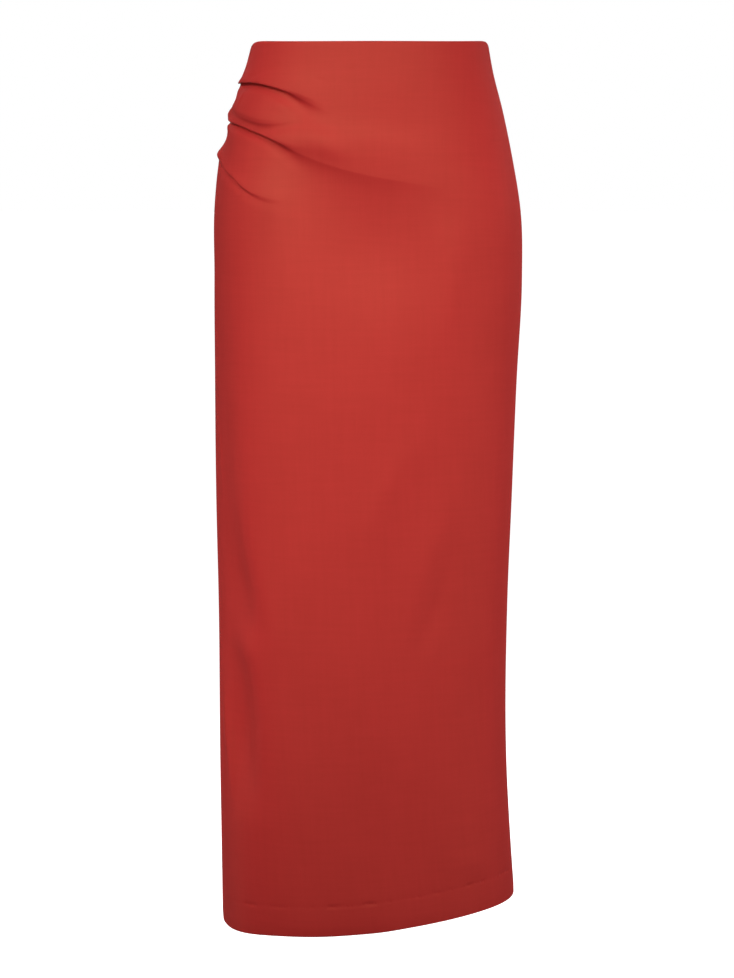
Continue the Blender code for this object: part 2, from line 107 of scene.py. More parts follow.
# crest is how far above the line the swell is highest, where the lip is tight, and reach how far it runs
# above that.
Pleat = namedtuple("Pleat", "crest reach line")
TIGHT_LIP = 0.0022
CREST_RISE = 1.5  # how much higher the crest is, for each metre that the lip is wider than tight
RIDGE_RUN = 2.5  # how far the lip's own ridge runs up, in lips
SWELL_AT_LIP = 0.37  # the share of the edge's height that the swell gives already
PLEATS = [
    Pleat(
        crest=0.0085,
        reach=0.012,
        line=[
            PleatPlace(171.0, 0.0440, 0.0, 0.0, 0.0, 0.0, 0.0060, 0.006),
            PleatPlace(176.5, 0.0434, 0.0008, 0.0004, 0.0, 0.0003, 0.0045, 0.006),
            PleatPlace(181.0, 0.0430, 0.0020, 0.0018, 2.1, 0.0006, 0.0022, 0.004),
            PleatPlace(196.0, 0.0420, 0.0024, 0.0022, 2.1, 0.0034, 0.0022, 0.005),
            PleatPlace(212.0, 0.0428, 0.0028, 0.0022, 2.0, 0.0036, 0.0024, 0.004),
            PleatPlace(222.5, 0.0456, 0.0028, 0.0021, 1.9, 0.0036, 0.0024, 0.005),
            PleatPlace(230.0, 0.0493, 0.0026, 0.0017, 1.5, 0.0030, 0.0030, 0.006, 0.0008, 0.009),
            PleatPlace(236.5, 0.0541, 0.0024, 0.0011, 0.7, 0.0026, 0.0042, 0.008, 0.0016, 0.010),
            PleatPlace(243.5, 0.0607, 0.0018, 0.0006, 0.1, 0.0024, 0.0056, 0.010, 0.0018, 0.010),
            PleatPlace(250.0, 0.0674, 0.0008, 0.0002, 0.0, 0.0008, 0.0066, 0.009, 0.0006, 0.010),
            PleatPlace(257.0, 0.0755, 0.0, 0.0, 0.0, 0.0, 0.0066, 0.009, 0.0, 0.010),
        ],
    ),
    Pleat(
        crest=0.0080,
        reach=0.010,
        line=[
            PleatPlace(176.0, 0.0660, 0.0, 0.0, 0.0, 0.0, 0.0046, 0.006),
            PleatPlace(187.0, 0.0686, 0.0008, 0.0004, 0.0, 0.0016, 0.0040, 0.006),
            PleatPlace(204.0, 0.0768, 0.0012, 0.0005, 0.0, 0.0022, 0.0052, 0.007, 0.0012, 0.011),
            PleatPlace(216.0, 0.0818, 0.0013, 0.0005, 0.0, 0.0031, 0.0054, 0.007, 0.0022, 0.011),
            PleatPlace(225.0, 0.0850, 0.0012, 0.0004, 0.0, 0.0026, 0.0056, 0.007, 0.0022, 0.011),
            PleatPlace(234.0, 0.0848, 0.0006, 0.0002, 0.0, 0.0012, 0.0050, 0.006, 0.0010, 0.009),
            PleatPlace(246.0, 0.0790, 0.0, 0.0, 0.0, 0.0, 0.0046, 0.006, 0.0, 0.008),
        ],
    ),
    Pleat(
        crest=0.0062,
        reach=0.014,
        line=[
            PleatPlace(171.0, 0.0788, 0.0, 0.0, 0.0, 0.0, 0.0060, 0.006),
            PleatPlace(176.0, 0.0792, 0.0008, 0.0004, 0.0, 0.0006, 0.0045, 0.006),
            PleatPlace(180.0, 0.0798, 0.0022, 0.0020, 2.0, 0.0024, 0.0022, 0.004),
            PleatPlace(192.0, 0.0824, 0.0024, 0.0021, 2.1, 0.0032, 0.0022, 0.004),
            PleatPlace(206.0, 0.0858, 0.0020, 0.0022, 2.0, 0.0038, 0.0024, 0.004),
            PleatPlace(218.0, 0.0916, 0.0022, 0.0022, 1.8, 0.0034, 0.0028, 0.004, 0.0006, 0.012),
            PleatPlace(229.0, 0.0990, 0.0026, 0.0018, 1.4, 0.0026, 0.0032, 0.006, 0.0016, 0.018),
            PleatPlace(237.0, 0.1070, 0.0028, 0.0012, 0.7, 0.0015, 0.0050, 0.008, 0.0030, 0.020),
            PleatPlace(244.5, 0.1150, 0.0028, 0.0006, 0.1, 0.0008, 0.0080, 0.010, 0.0042, 0.030),
            PleatPlace(253.0, 0.1240, 0.0028, 0.0002, 0.0, 0.0003, 0.0130, 0.012, 0.0056, 0.048),
            PleatPlace(262.0, 0.1320, 0.0026, 0.0, 0.0, 0.0, 0.0180, 0.012, 0.0064, 0.056),
            PleatPlace(272.0, 0.1390, 0.0022, 0.0, 0.0, 0.0, 0.0220, 0.012, 0.0064, 0.062),
            PleatPlace(283.0, 0.1450, 0.0014, 0.0, 0.0, 0.0, 0.0220, 0.012, 0.0044, 0.064),
            PleatPlace(296.0, 0.1520, 0.0005, 0.0, 0.0, 0.0, 0.0220, 0.012, 0.0014, 0.064),
            PleatPlace(310.0, 0.1600, 0.0, 0.0, 0.0, 0.0, 0.0220, 0.012, 0.0, 0.064),
        ],
    ),
    Pleat(
        crest=0.0050,
        reach=0.009,
        line=[
            PleatPlace(170.0, 0.1180, 0.0, 0.0, 0.0, 0.0, 0.0060, 0.006),
            PleatPlace(176.0, 0.1190, 0.0012, 0.0006, 0.0, 0.0, 0.0050, 0.006),
            PleatPlace(181.0, 0.1205, 0.0032, 0.0020, 0.0, 0.0, 0.0040, 0.006),
            PleatPlace(191.0, 0.1265, 0.0016, 0.0012, 0.0, 0.0010, 0.0030, 0.005),
            PleatPlace(202.0, 0.1350, 0.0012, 0.0012, 0.8, 0.0018, 0.0024, 0.005),
            PleatPlace(210.0, 0.1408, 0.0012, 0.0013, 1.0, 0.0020, 0.0022, 0.005),
            PleatPlace(218.0, 0.1506, 0.0010, 0.0010, 0.8, 0.0014, 0.0024, 0.005),
            PleatPlace(226.0, 0.1590, 0.0006, 0.0006, 0.3, 0.0008, 0.0028, 0.005),
            PleatPlace(233.0, 0.1640, 0.0002, 0.0002, 0.0, 0.0004, 0.0030, 0.005),
            PleatPlace(243.0, 0.1660, 0.0, 0.0, 0.0, 0.0, 0.0030, 0.005),
        ],
    ),
]

# Drapes are long soft folds down the cloth. Below zero is a trough.
Place = namedtuple("Place", "turn down proud")
Drape = namedtuple("Drape", "half_width line")
DRAPES = [
    Drape(0.016, [Place(284, 0.400, 0), Place(279, 0.438, 0.0012), Place(273.5, 0.467, 0.0014),
                  Place(269, 0.502, 0.0014), Place(268, 0.545, 0.0010), Place(265, 0.590, 0.0008),
                  Place(261, 0.660, 0)]),
    Drape(0.015, [Place(299, 0.440, 0), Place(297, 0.475, 0.0010), Place(293, 0.510, 0.0015),
                  Place(288.5, 0.541, 0.0016), Place(285, 0.575, 0.0014), Place(281, 0.615, 0.0008),
                  Place(276, 0.660, 0)]),
    Drape(0.011, [Place(300, 0.500, 0), Place(297, 0.540, -0.0008), Place(294, 0.575, -0.0014),
                  Place(290.5, 0.602, -0.0018), Place(287, 0.625, -0.0012), Place(281, 0.660, 0)]),
    Drape(0.007, [Place(300, 0.640, 0), Place(289, 0.671, -0.0007), Place(282, 0.694, -0.0008),
                  Place(276, 0.716, -0.0005), Place(268, 0.745, 0)]),
    Drape(0.010, [Place(309, 0.645, 0), Place(310, 0.695, -0.0010), Place(311, 0.750, 0)]),
    Drape(0.016, [Place(298, 0.180, 0), Place(299, 0.215, 0.0022), Place(298, 0.260, 0.0024),
                  Place(293, 0.330, 0)]),
    Drape(0.023, [Place(206, 0.200, 0), Place(203, 0.300, -0.0012), Place(200, 0.400, -0.0022),
                  Place(198, 0.480, -0.0038), Place(199, 0.530, -0.0054), Place(202, 0.570, -0.0062),
                  Place(204, 0.600, -0.0050), Place(209, 0.637, 0)]),
    Drape(0.018, [Place(207, 0.380, 0), Place(206, 0.460, -0.0010), Place(207, 0.510, -0.0020),
                  Place(209, 0.550, -0.0036), Place(212, 0.585, -0.0042), Place(213, 0.605, -0.0032),
                  Place(217, 0.640, 0)]),
    Drape(0.024, [Place(192, 0.540, 0), Place(196, 0.600, -0.0040), Place(198, 0.640, -0.0070),
                  Place(200, 0.685, -0.0082), Place(201, 0.713, -0.0092), Place(201, 0.740, -0.0086),
                  Place(204, 0.775, -0.0050), Place(209, 0.825, 0)]),
    Drape(0.022, [Place(204, 0.640, 0), Place(208, 0.675, -0.0034), Place(209, 0.705, -0.0050),
                  Place(209, 0.735, -0.0050), Place(209, 0.770, -0.0032), Place(212, 0.820, 0)]),
    Drape(0.014, [Place(222, 0.500, 0), Place(225, 0.560, 0.0007), Place(228, 0.600, 0.0007),
                  Place(234, 0.660, 0)]),
    Drape(0.007, [Place(186, 0.680, 0), Place(188, 0.706, 0.0020), Place(190, 0.736, 0.0034),
                  Place(193, 0.768, 0.0022), Place(197, 0.815, 0)]),
    Drape(0.026, [Place(250, 0.560, 0), Place(246, 0.720, -0.0012), Place(250, 0.860, 0)]),
    Drape(0.024, [Place(58, 0.26, 0), Place(66, 0.46, -0.0042), Place(76, 0.70, 0)]),
    Drape(0.026, [Place(124, 0.22, 0), Place(114, 0.42, -0.0040), Place(104, 0.62, 0)]),
    Drape(0.020, [Place(64, 0.56, 0), Place(72, 0.72, 0.0026), Place(78, 0.92, 0)]),
    Drape(0.024, [Place(140, 0.42, 0), Place(146, 0.62, -0.0036), Place(150, 0.90, 0)]),
    Drape(0.018, [Place(128, 0.58, 0), Place(120, 0.74, -0.0024), Place(112, 0.90, 0)]),
    Drape(0.022, [Place(28, 0.38, 0), Place(34, 0.62, -0.0024), Place(40, 0.90, 0)]),
]

# Puffs are soft bulges (dents below zero): half sizes round and down, tilt is the slope of their long
# way, in metres down for each metre round.
Puff = namedtuple("Puff", "turn down round_half down_half height tilt")
PUFFS = [
    Puff(211.0, 0.0345, 0.017, 0.0040, -0.0009, -0.25),
    Puff(225.5, 0.0265, 0.0055, 0.0014, -0.0006, -0.20),
    Puff(216.2, 0.0222, 0.0032, 0.0024, 0.0004, 0.0),
    Puff(250.0, 0.0400, 0.0050, 0.0014, -0.0004, 0.0),
    Puff(200.5, 0.0600, 0.0035, 0.0070, 0.0008, 0.0),
    Puff(234.0, 0.0660, 0.0120, 0.0070, 0.0014, 0.30),
    Puff(255.0, 0.1060, 0.0200, 0.0140, 0.0028, 0.40),
    Puff(272.0, 0.2120, 0.0500, 0.0600, -0.0052, 0.15),
    Puff(282.0, 0.0400, 0.0500, 0.0380, 0.0026, 0.0),
    Puff(232.0, 0.1620, 0.0280, 0.0200, 0.0016, 0.20),
    Puff(218.5, 0.1560, 0.0032, 0.0026, 0.0006, 0.0),
    Puff(223.5, 0.1600, 0.0032, 0.0022, 0.0005, 0.0),
    Puff(192.5, 0.4300, 0.0050, 0.0300, 0.0008, 0.15),
    Puff(265.0, 0.9300, 0.0240, 0.0460, 0.0024, 0.0),
    Puff(303.0, 0.8750, 0.0220, 0.0110, 0.0015, 0.0),
    Puff(100.0, 0.0900, 0.0300, 0.0060, -0.0010, 0.10),
    Puff(76.0, 0.1150, 0.0260, 0.0060, -0.0009, -0.14),
    Puff(40.0, 0.1900, 0.0240, 0.0100, 0.0012, 0.30),
    Puff(150.0, 0.2300, 0.0260, 0.0120, 0.0012, -0.25),
]

# How far the right side seam stands out or in at each way down, where the pleats are caught in it.
PUCKER_TURN, PUCKER_HALF = RIGHT_SEAM + 1.5, 8.0
PUCKER = [
    (0.0, -0.0012),
    (0.010, -0.0003),
    (0.034, 0.0002),
    (0.044, 0.0010),
    (0.052, 0.0004),
    (0.061, -0.0012),
    (0.066, -0.0004),
    (0.071, 0.0017),
    (0.075, 0.0016),
    (0.080, -0.0016),
    (0.085, 0.0008),
    (0.094, -0.0010),
    (0.110, -0.0007),
    (0.118, 0.0016),
    (0.134, 0.0016),
    (0.155, 0.0006),
    (0.200, -0.0012),
    (0.500, -0.0005),
    (0.940, -0.0006),
]

# ---------------------------------------------------------------- the form of the cloth


def follow(knots, values, at):
    """A smooth curve through a table's values: cubic pieces, with slopes from the neighbours."""
    slopes = np.gradient(values, knots)
    i = np.clip(np.searchsorted(knots, at) - 1, 0, len(knots) - 2)
    span = knots[i + 1] - knots[i]
    s = (at - knots[i]) / span
    start = (2 * s**3 - 3 * s**2 + 1) * values[i] + (s**3 - 2 * s**2 + s) * span * slopes[i]
    end = (3 * s**2 - 2 * s**3) * values[i + 1] + (s**3 - s**2) * span * slopes[i + 1]
    return start + end


def rise(value, low, high):
    """0 below low, 1 above high and smooth between."""
    s = np.clip((value - low) / (high - low), 0, 1)
    return s * s * (3 - 2 * s)


def bell(value, centre, width):
    return np.exp(-(((value - centre) / width) ** 2))


SECTION_COLUMNS = {name: np.array([getattr(s, name) for s in SECTIONS]) for name in Section._fields}


def column(turn, down):
    """Points of the smooth column, before its folds."""
    size = {
        name: follow(SECTION_COLUMNS["down"], values, down)
        for name, values in SECTION_COLUMNS.items()
        if name != "down"
    }
    angle = np.radians(turn)
    square = size["square"]
    x = size["half_width"] * (np.cos(angle) - square * np.cos(3 * angle)) / (1 - square)
    depth = np.where(np.sin(angle) > 0, size["back"], size["front"])
    y = depth * (np.sin(angle) + square * np.sin(3 * angle)) / (1 - square)
    twist = np.radians(size["twist"])
    across = size["centre"] + x * np.cos(twist) - y * np.sin(twist)
    return np.stack([across, x * np.sin(twist) + y * np.cos(twist), -down + 0 * x], axis=-1)


PROBE_TURN, PROBE_DOWN = 0.05, 0.0002  # how far apart a surface's slopes are measured


def along(surface, turn, down):
    """A surface's two directions at each place: per degree of turn, and per metre down."""
    by_turn = surface(turn + PROBE_TURN, down) - surface(turn - PROBE_TURN, down)
    by_down = surface(turn, down + PROBE_DOWN) - surface(turn, down - PROBE_DOWN)
    return by_turn / (2 * PROBE_TURN), by_down / (2 * PROBE_DOWN)


def outward(surface, turn, down):
    by_turn, by_down = along(surface, turn, down)
    normal = np.cross(by_down, by_turn)
    return normal / np.linalg.norm(normal, axis=-1, keepdims=True)


def degree(turn, down):
    """Metres of cloth in one degree of turn."""
    return np.linalg.norm(along(column, turn, down)[0], axis=-1)


def table(line):
    """The columns of a line's rows."""
    return np.array(line, dtype=float).T


def bend_height(bend, turn):
    return bend.height * bell(turn, bend.turn, bend.half_width)


def waist_edge(turn):
    dips = sum(bend_height(bend, turn) for bend in WAIST_DIPS)
    return dips - WAIST_RISE * np.cos(np.radians(turn)) ** 4


def hem_edge(turn):
    lifts = sum(bend_height(bend, turn) for bend in HEM_LIFTS)
    return LENGTH - HEM_TILT * np.cos(np.radians(turn)) - lifts


def pleat_shape(pleat, turn, down):
    """How far the cloth moves out and down at a pleat."""
    turns, downs, swells, edges, overs, hollows, lips, belows, falls, runs = table(pleat.line)
    at = np.clip(turn, turns[0], turns[-1])
    reached = np.where(turn == at, 1.0, 0.0)
    drop = down - follow(turns, downs, at)
    sizes = (swells, edges, overs, hollows, falls)
    swell, edge, over, hollow, fall = (np.maximum(follow(turns, v, at), 0) * reached for v in sizes)
    lip, below = follow(turns, lips, at), follow(turns, belows, at)
    rim = pleat.crest + CREST_RISE * (lip - TIGHT_LIP)
    crest = drop + rim
    near = bell(np.maximum(crest, 0), 0, rim)
    far = bell(np.minimum(crest, 0), 0, pleat.reach)
    ridge = bell(np.minimum(drop, 0), 0, RIDGE_RUN * lip)
    above = (swell - SWELL_AT_LIP * edge) * near * far + edge * ridge
    dropped = rise(drop, -lip, lip)
    sunk = bell(np.maximum(drop - lip, 0), 0, below)
    proud = (1 - dropped) * above - dropped * hollow * sunk
    past = np.maximum(drop, 0) / follow(turns, runs, at)
    proud = proud - fall * past * np.exp(1 - past)
    moved = -over * drop * bell(drop, 0, lip)
    return proud, moved


def drape_height(drape, turn, down, metres):
    turns, downs, prouds = table(drape.line)
    at = np.clip(down, downs[0], downs[-1])
    across = (turn - follow(downs, turns, at)) * metres
    height = follow(downs, prouds, at)
    height = np.where(np.max(prouds) > 0, np.maximum(height, 0), np.minimum(height, 0))
    return height * bell(across, 0, drape.half_width)


def puff_height(puff, turn, down, metres):
    across = (turn - puff.turn) * metres
    drop = down - puff.down - puff.tilt * across
    return puff.height * np.exp(-((across / puff.round_half) ** 2) - ((drop / puff.down_half) ** 2))


def pucker_height(turn, down):
    downs, prouds = table(PUCKER)
    return follow(downs, prouds, np.clip(down, downs[0], downs[-1])) * bell(turn, PUCKER_TURN, PUCKER_HALF)


def hem_roll(turn, down):
    """The hem's edge curls in a little, most at the front right."""
    curl = HEM_CURL * (LEAST_CURL + (1 - LEAST_CURL) * bell(turn, CURL_TURN, CURL_SPREAD))
    return -curl * bell(hem_edge(turn) - down, 0, CURL_HALF)


def dart_height(turn, down, metres):
    """A sewn dart is a fine groove from the waist down."""
    across = [(turn - at) * metres for at in DART_TURNS]
    groove = sum(bell(a, 0, GROOVE_HALF) * GROOVE - bell(a, 0, RAISED_HALF) * RAISED for a in across)
    return -groove * (1 - rise(down, DART_LENGTH - DART_END, DART_LENGTH))


def cloth(turn, down):
    """The outer face of the skirt: the column with its pleats, drapes, puffs and darts."""
    metres = degree(turn, down)
    height = EASE * (1 - bell(turn, CENTRE_BACK, EASE_SPREAD))
    height = height + sum(drape_height(d, turn, down, metres) for d in DRAPES)
    height = height + sum(puff_height(p, turn, down, metres) for p in PUFFS)
    height = height + pucker_height(turn, down) + dart_height(turn, down, metres) + hem_roll(turn, down)
    shift = 0 * down
    for pleat in PLEATS:
        proud, moved = pleat_shape(pleat, turn, down)
        height = height + proud
        shift = shift + moved
    return column(turn, down + shift) + outward(column, turn, down + shift) * height[..., None]


# ---------------------------------------------------------------- panels


def by_density(fine, density, count):
    """count + 1 places along fine, closer together where density is high."""
    steps = (density[1:] + density[:-1]) / 2 * np.diff(fine)
    filled = np.concatenate([[0.0], np.cumsum(steps)])
    return np.interp(np.linspace(0, filled[-1], count + 1), filled, fine)


FINE = 3000  # places at which a density is sampled
EDGE_STEP, EDGE_NEAR = 0.00022, 0.0008  # spacing at an edge, and how near the edge
EDGE_TURNS = 4.0  # degrees over which an edge is moved for its gap
TURN_STEP = 0.0008  # how far down the step runs where a turned edge ends
STEP_NEAR, STEP_ROW = 0.0011, 0.0005  # how near that step the rows are close, and how close
PLEATED_TOP, PLEATED_FOOT = (0.020, 0.034), (0.175, 0.200)  # where the pleats' close rows begin and end
CREASE_BELOW, CREASE_NEAR = 0.3, 1.5  # where a pleat's closest rows lie under its line, in lips
TYPICAL_DEGREE = 0.0025  # metres of cloth in a degree of turn
Spacing = namedtuple("Spacing", "row pleat_row crease_row")
PanelPlan = namedtuple("PanelPlan", "name start stop start_gap end_gap density columns rows spacing")


def panel_rows(turns, count, spacing):
    """Each column's ways down, from the waist to the hem, closer together at the pleats and the edges."""
    downs = []
    for turn in turns:
        top, foot = waist_edge(turn), hem_edge(turn)
        fine = np.linspace(top, foot, FINE)
        density = 1 / spacing.row + (bell(fine, top, EDGE_NEAR) + bell(fine, foot, EDGE_NEAR)) / EDGE_STEP
        density += bell(fine, foot - HEM_ALLOWANCE, STEP_NEAR) / STEP_ROW
        density += bell(fine, top + TOP_ALLOWANCE, STEP_NEAR) / STEP_ROW
        density += rise(fine, *PLEATED_TOP) * (1 - rise(fine, *PLEATED_FOOT)) / spacing.pleat_row
        for pleat in PLEATS:
            knots, line_downs, _, _, _, _, lips, *_ = table(pleat.line)
            at = np.clip(turn, knots[0], knots[-1])
            lip = follow(knots, lips, at)
            crease = follow(knots, line_downs, at) + CREASE_BELOW * lip
            density += bell(fine, crease, CREASE_NEAR * lip) * TIGHT_LIP / lip / spacing.crease_row
        downs.append(by_density(fine, density, count))
    return np.array(downs).T


def panel_columns(start, stop, count, density):
    fine = np.linspace(start, stop, FINE)
    near = EDGE_NEAR / TYPICAL_DEGREE
    edges = (bell(fine, start, near) + bell(fine, stop, near)) * TYPICAL_DEGREE / EDGE_STEP
    return by_density(fine, density(fine) + edges, count)


def add(name, data, finish=None):
    """A new object in the scene, in its finish where it has one."""
    made = bpy.data.objects.new(name, data)
    bpy.context.scene.collection.objects.link(made)
    if finish:
        data.materials.append(finish)
    return made


MERGED, FLAT = 0.000002, 0.000001  # points closer than this become one, and edges shorter are dropped


def shell(name, turns, downs, outer, inner, finish, threads, borders):
    """A closed shell over a grid of places, between two depths under the cloth's outer face."""
    face = cloth(turns, downs)
    normal = outward(cloth, turns, downs)
    points = np.concatenate([(face - normal * depth[..., None]).reshape(-1, 3) for depth in (outer, inner)])
    rows, columns = turns.shape
    index = np.arange(rows * columns).reshape(rows, columns)
    out = np.stack([index[:-1, :-1], index[1:, :-1], index[1:, 1:], index[:-1, 1:]], axis=-1).reshape(-1, 4)
    rim = np.concatenate([index[0, :-1], index[:-1, -1], index[-1, :0:-1], index[:0:-1, 0]])
    ahead = np.roll(rim, -1)
    side = np.stack([rim, ahead, ahead + rows * columns, rim + rows * columns], axis=-1)
    mesh = bpy.data.meshes.new(name)
    mesh.from_pydata(points.tolist(), [], np.concatenate([out, out[:, ::-1] + rows * columns, side]).tolist())
    for attribute, values in (("threads", threads), ("borders", borders)):
        made = mesh.attributes.new(attribute, "FLOAT_VECTOR", "POINT")
        made.data.foreach_set("vector", np.concatenate([values, values]).ravel())
    build = bmesh.new()
    build.from_mesh(mesh)
    bmesh.ops.remove_doubles(build, verts=build.verts, dist=MERGED)
    bmesh.ops.dissolve_degenerate(build, edges=build.edges, dist=FLAT)
    bmesh.ops.recalc_face_normals(build, faces=build.faces)
    build.to_mesh(mesh)
    build.free()
    mesh.validate()
    mesh.shade_smooth()
    return add(name, mesh, finish)


def threads_of(turns, downs):
    """Where each place lies on the flat cloth: metres round from the panel's middle, and metres down."""
    metres = degree(turns, downs)
    steps = (metres[:, 1:] + metres[:, :-1]) / 2 * np.diff(turns, axis=1)
    round_ = np.concatenate([0 * turns[:, :1], np.cumsum(steps, axis=1)], axis=1)
    middle = np.array([np.interp(CENTRE_FRONT, t, r) for t, r in zip(turns, round_)])
    return np.stack([round_ - middle[:, None], downs, 0 * downs], axis=-1)


def panel(plan, finish):
    """One panel of the skirt, with rolled edges, and two layers thick along the waist and the hem."""
    level = panel_columns(plan.start, plan.stop, plan.columns, plan.density)
    downs = panel_rows(level, plan.rows, plan.spacing)
    turns = level[None, :] + 0 * downs
    near = np.clip(1 - (turns - plan.start) / EDGE_TURNS, 0, 1)
    turns = turns + plan.start_gap(downs) / degree(turns, downs) * near
    near = np.clip(1 - (plan.stop - turns) / EDGE_TURNS, 0, 1)
    turns = turns - plan.end_gap(downs) / degree(turns, downs) * near
    metres = degree(turns, downs)
    top = downs - waist_edge(turns)
    foot = hem_edge(turns) - downs
    first = (turns - turns[:, :1]) * metres
    last = (turns[:, -1:] - turns) * metres
    turned_top = 1 - rise(top, TOP_ALLOWANCE - TURN_STEP, TOP_ALLOWANCE)
    turned_foot = 1 - rise(foot, HEM_ALLOWANCE - TURN_STEP, HEM_ALLOWANCE)
    thick = CLOTH + (TURNED - CLOTH) * np.maximum(turned_top, turned_foot)
    edge = np.minimum(np.minimum(top, foot), np.minimum(first, last))
    half = thick / 2
    rolled = half - np.sqrt(np.maximum(half**2 - np.maximum(half - edge, 0) ** 2, 0))
    borders = np.stack([np.minimum(first, last), top, foot], axis=-1)
    threads = threads_of(turns, downs)
    return shell(plan.name, turns, downs, rolled, thick - rolled, finish, threads, borders)


def sewn(down):
    """How far a side seam's edge stands from the seam."""
    return -SIDE_LAP / 2 + 0 * down


def centre_back_parting(down):
    """How far an edge stands from the centre back: round the zip's slider, at the seam and in the slit."""
    head = FIN_THICK / 2 + HEAD_CLEARANCE - SEAM_GAP / 2
    parting = SEAM_GAP / 2 + head * (1 - rise(down, NOTCH_FOOT, NOTCH_FOOT + ZIP_TOP))
    return parting + (SLIT_GAPE - SEAM_GAP) / 2 * np.clip((down - SLIT_TOP) / (LENGTH - SLIT_TOP), 0, 1)


# ---------------------------------------------------------------- what is sewn inside

STRIP_COLUMNS = 4  # lines of points along a strip
STRIP_FINE = 4  # a strip's rows are spaced by this many times as many


def strip_rows(turn, top, foot, count, spacing):
    """Ways down a strip, closer together at the pleats."""
    downs = panel_rows([turn], STRIP_FINE * count, spacing)[:, 0]
    downs = downs[(downs > top) & (downs < foot)]
    downs = np.concatenate([[top], downs, [foot]])
    return np.interp(np.linspace(0, len(downs) - 1, count + 1), np.arange(len(downs)), downs)


def strip(name, downs, near, far, outer, inner, finish):
    """A strip along the skirt between two turns at each way down, and between two depths."""
    share = np.linspace(0, 1, STRIP_COLUMNS)
    downs = downs[:, None] + 0 * share
    turns = near(downs) + (far(downs) - near(downs)) * share
    turns = np.sort(turns, axis=1)
    metres = (turns - turns[:, :1]) * degree(turns, downs)
    threads = np.stack([metres, downs, 0 * downs], axis=-1)
    borders = np.ones((*downs.shape, 3))
    return shell(name, turns, downs, outer + 0 * downs, inner + 0 * downs, finish, threads, borders)


def by_turns(count, even, odd):
    """Two values, one after the other."""
    return np.where(np.arange(count) % 2 == 0, even, odd)


def place_on(turn, down, depth):
    """A point at a depth under the cloth's outer face."""
    face, normal = cloth(turn, down), outward(cloth, turn, down)
    return face - normal * np.asarray(depth)[..., None]


def thread(name, runs, radius, finish):
    """Sewing thread or wire along each run of points."""
    curve = bpy.data.curves.new(name, "CURVE")
    curve.dimensions = "3D"
    curve.bevel_depth = radius
    curve.bevel_resolution = 0
    curve.use_fill_caps = True
    for run in runs:
        line = curve.splines.new("POLY")
        line.points.add(len(run) - 1)
        line.points.foreach_set("co", np.concatenate([run, np.ones((len(run), 1))], axis=1).ravel())
    return add(name, curve, finish)


THREAD_RADIUS = 0.00018
# From one overlock stitch to the next, how far each reaches in, and how far from the ends they stop.
OVERLOCK_STEP, OVERLOCK_BITE, OVERLOCK_END = 0.0018, 0.0042, 0.002
ZIGZAG_LIFT, NEEDLE_LIFT = 0.8, 1.6  # in thread radii
INNER_FACE = CLOTH + LAYER_GAP + ALLOWANCE_THICK


def overlock(name, far, side, top, foot, finish):
    """Thread that goes to and fro over an allowance's free edge, on its inner face."""
    downs = np.arange(top + OVERLOCK_END, foot - OVERLOCK_END, OVERLOCK_STEP)
    bite = by_turns(len(downs), 0.0, OVERLOCK_BITE)
    edge = far(downs)
    turns = edge - side * bite / degree(edge, downs)
    zigzag = place_on(turns, downs, INNER_FACE + ZIGZAG_LIFT * THREAD_RADIUS + 0 * downs)
    needle = edge - side * OVERLOCK_BITE / degree(edge, downs)
    row = place_on(needle, downs, INNER_FACE + NEEDLE_LIFT * THREAD_RADIUS + 0 * downs)
    return thread(name, [zigzag, row], THREAD_RADIUS, finish)


# ---------------------------------------------------------------- finishes


def new_material(name):
    """A new material, a function that adds a node to it, and one that sets the sockets of its surface."""
    made = bpy.data.materials.new(name)
    made.use_nodes = True
    tree = made.node_tree

    def fill(filled, sockets):
        """Each socket gets a value, or what another node gives out."""
        for socket, value in sockets.items():
            if isinstance(value, bpy.types.NodeSocket):
                tree.links.new(value, filled.inputs[socket])
            else:
                filled.inputs[socket].default_value = value

    def node(kind, sockets, **settings):
        added = tree.nodes.new(kind)
        for key, value in settings.items():
            setattr(added, key, value)
        fill(added, sockets)
        return added.outputs

    def surface(sockets):
        fill(tree.nodes["Principled BSDF"], sockets)

    return made, node, surface


# A grain is noise on the flat cloth: how fine it is round and down the skirt, in grains for each metre.
Grain = namedtuple("Grain", "round down detail")
WARP, WEFT = Grain(30.0, 1000.0, 3.0), Grain(1100.0, 24.0, 2.0)
DOWN_SLUBS, ROUND_SLUBS = Grain(190.0, 14.0, 2.0), Grain(18.0, 210.0, 2.0)
CLOUDS = Grain(16.0, 11.0, 4.0)
DIMPLES, RIPPLES = Grain(48.0, 30.0, 3.0), Grain(10.0, 230.0, 2.0)
WEAVE_SHARE, SLUB_SHARE = 0.4, 0.8  # in the cloth's shades, beside its clouds
DARKEST, LIGHTEST = 1.36, 2.04  # the sums of grains that give the deeper dye and the lighter one
THREAD_RELIEF = 0.00006  # how far the threads stand out
HEM_LINE, HEM_LINE_HALF, HEM_RELIEF = HEM_ALLOWANCE + 0.0005, 0.0024, 0.0042  # where the hem's stitches pull
LEAST_PULL, SELDOM_PULL = 0.03, 0.50  # how far they pull everywhere, and the grain over which they pull more
SEAM_HALF, SEAM_RELIEF = 0.0050, 0.0007  # the ripples along a panel's side edges
EVEN = 0.5  # the middle of a grain
EULER = 2.718  # the base of a bell's fall
SHEEN_SPREAD = 0.4
THREAD_DETAIL = 3.0


